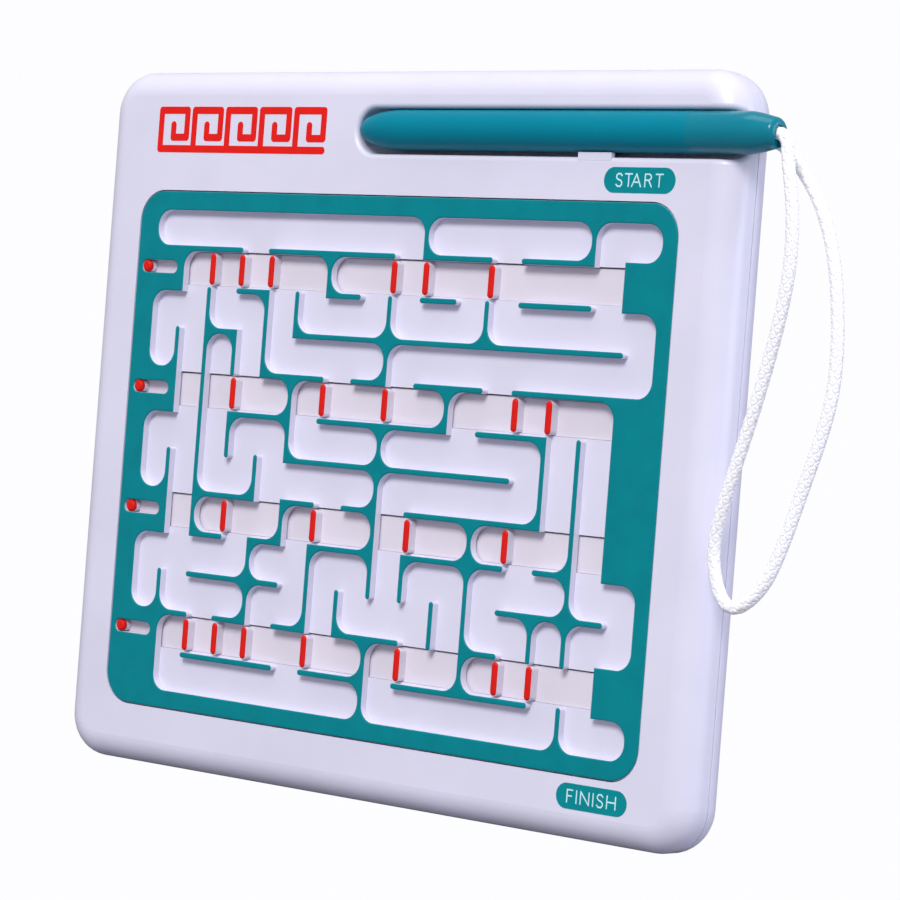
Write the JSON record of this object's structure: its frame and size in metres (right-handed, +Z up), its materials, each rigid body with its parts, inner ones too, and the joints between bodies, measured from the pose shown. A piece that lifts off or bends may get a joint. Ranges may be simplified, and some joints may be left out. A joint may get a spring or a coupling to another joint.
{
  "type": "handheld stylus maze game",
  "caption": "Flat handheld maze toy with sliding wall bars, a corded stylus clipped in a top channel, a moulded maze panel and a two-part screwed case.",
  "frame": {"origin": "middle of the flat bottom edge of the case, 5.6 mm behind its front face", "axes": "+X to the player's right, +Y into the body from the front face, +Z up the standing case"},
  "size_m": [0.1742, 0.0148, 0.1338],
  "materials": {
    "white_plastic": "fine satin moulded plastic",
    "panel_plastic": "fine satin moulded plastic",
    "inner_plastic": "plain moulded plastic",
    "slider_plastic": "satin moulded plastic, slightly warmer than the case",
    "teal_foil": "satin hot-stamped foil",
    "red_foil": "satin hot-stamped foil",
    "teal_ink": "pad-printed ink",
    "pale_ink": "pad-printed ink",
    "red_ink": "pad-printed ink",
    "stylus_plastic": "satin moulded plastic",
    "stylus_cap_plastic": "glossier moulded plastic than the barrel",
    "cord_braid": "round braided polyester cord",
    "screw_steel": "zinc-plated steel"
  },
  "bodies": {
    "case": {"front_case": "white_plastic", "back_cover": "white_plastic", "case_screws": "screw_steel", "maze_panel": "panel_plastic", "maze_print": "teal_foil", "slider_retainer": "inner_plastic", "retainer_screws": "screw_steel", "cord_knot": "cord_braid", "start_label": "teal_ink", "start_lettering": "pale_ink", "finish_label": "teal_ink", "finish_lettering": "pale_ink", "emblem_print": "red_ink"},
    "slider_bar_1": {"slider_1": "slider_plastic", "slider_1_print": "red_foil"},
    "slider_bar_2": {"slider_2": "slider_plastic", "slider_2_print": "red_foil"},
    "slider_bar_3": {"slider_3": "slider_plastic", "slider_3_print": "red_foil"},
    "slider_bar_4": {"slider_4": "slider_plastic", "slider_4_print": "red_foil"},
    "stylus": {"stylus_barrel": "stylus_plastic", "stylus_end_cap": "stylus_cap_plastic", "cord": "cord_braid"}
  },
  "joints": [
    {"name": "slide_1", "type": "slide", "parent": "case", "child": "slider_bar_1", "axis": [1, 0, 0], "range_m": [0, 0.0071]},
    {"name": "slide_2", "type": "slide", "parent": "case", "child": "slider_bar_2", "axis": [1, 0, 0], "range_m": [-0.00013, 0.00697]},
    {"name": "slide_3", "type": "slide", "parent": "case", "child": "slider_bar_3", "axis": [1, 0, 0], "range_m": [-0.0004, 0.0067]},
    {"name": "slide_4", "type": "slide", "parent": "case", "child": "slider_bar_4", "axis": [1, 0, 0], "range_m": [-0.00015, 0.00695]},
    {"name": "stylus_lift", "type": "slide", "parent": "case", "child": "stylus", "axis": [0, -1, 0], "range_m": [0, 0.04], "deforming": ["cord"]}
  ]
}
